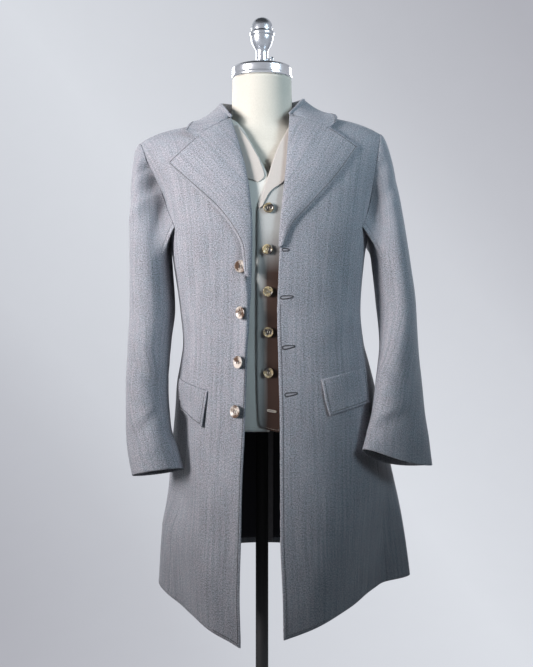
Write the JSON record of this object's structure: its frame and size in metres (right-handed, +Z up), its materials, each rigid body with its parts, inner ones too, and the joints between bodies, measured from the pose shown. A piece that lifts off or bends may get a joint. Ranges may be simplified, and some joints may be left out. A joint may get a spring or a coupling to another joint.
{
  "type": "long jacket suit on a dress form",
  "caption": "Long unfastened wool jacket with notched lapels over a cream waistcoat, worn on a limbless dress form with a pole and round base.",
  "frame": {"origin": "centre of the stand base's underside, on the floor", "axes": "+Z up along the pole, -Y to the front of the garment, +X to the wearer's left"},
  "size_m": [0.5681, 0.4112, 1.6667],
  "materials": {
    "jacket_wool": "fine salt and pepper wool twill",
    "jacket_lining": "dark satin lining",
    "vest_cloth": "cream wool with a soft sheen",
    "vest_back_cloth": "dark satin back cloth",
    "jacket_button": "pale horn-like button",
    "vest_button": "brown horn-like button",
    "form_cover": "buff linen cover",
    "cap_metal": "turned bright metal",
    "finial_metal": "turned metal",
    "stand_enamel": "black enamel"
  },
  "bodies": {
    "root": {"jacket_front_left": "jacket_wool", "jacket_side_left": "jacket_wool", "jacket_back_left": "jacket_wool", "lining_front_left": "jacket_lining", "lining_side_left": "jacket_lining", "lining_back_left": "jacket_lining", "jacket_lapel_left": "jacket_wool", "jacket_flap_left": "jacket_wool", "jacket_upper_sleeve_left": "jacket_wool", "jacket_under_sleeve_left": "jacket_wool", "sleeve_lining_left": "jacket_lining", "vest_front_left": "vest_cloth", "vest_lapel_left": "vest_cloth", "jacket_front_right": "jacket_wool", "jacket_side_right": "jacket_wool", "jacket_back_right": "jacket_wool", "lining_front_right": "jacket_lining", "lining_side_right": "jacket_lining", "lining_back_right": "jacket_lining", "jacket_lapel_right": "jacket_wool", "jacket_flap_right": "jacket_wool", "jacket_upper_sleeve_right": "jacket_wool", "jacket_under_sleeve_right": "jacket_wool", "sleeve_lining_right": "jacket_lining", "vest_front_right": "vest_cloth", "vest_lapel_right": "vest_cloth", "jacket_vent_underlap": "jacket_wool", "jacket_collar": "jacket_wool", "vest_back": "vest_back_cloth", "jacket_button_1": "jacket_button", "jacket_button_2": "jacket_button", "jacket_button_3": "jacket_button", "jacket_button_4": "jacket_button", "vest_button_1": "vest_button", "vest_button_2": "vest_button", "vest_button_3": "vest_button", "vest_button_4": "vest_button", "vest_button_5": "vest_button", "form_torso": "form_cover", "form_neck_cap": "cap_metal", "form_finial": "finial_metal", "form_thumb_screw": "finial_metal", "form_pole": "stand_enamel", "form_base": "stand_enamel"}
  },
  "joints": []
}
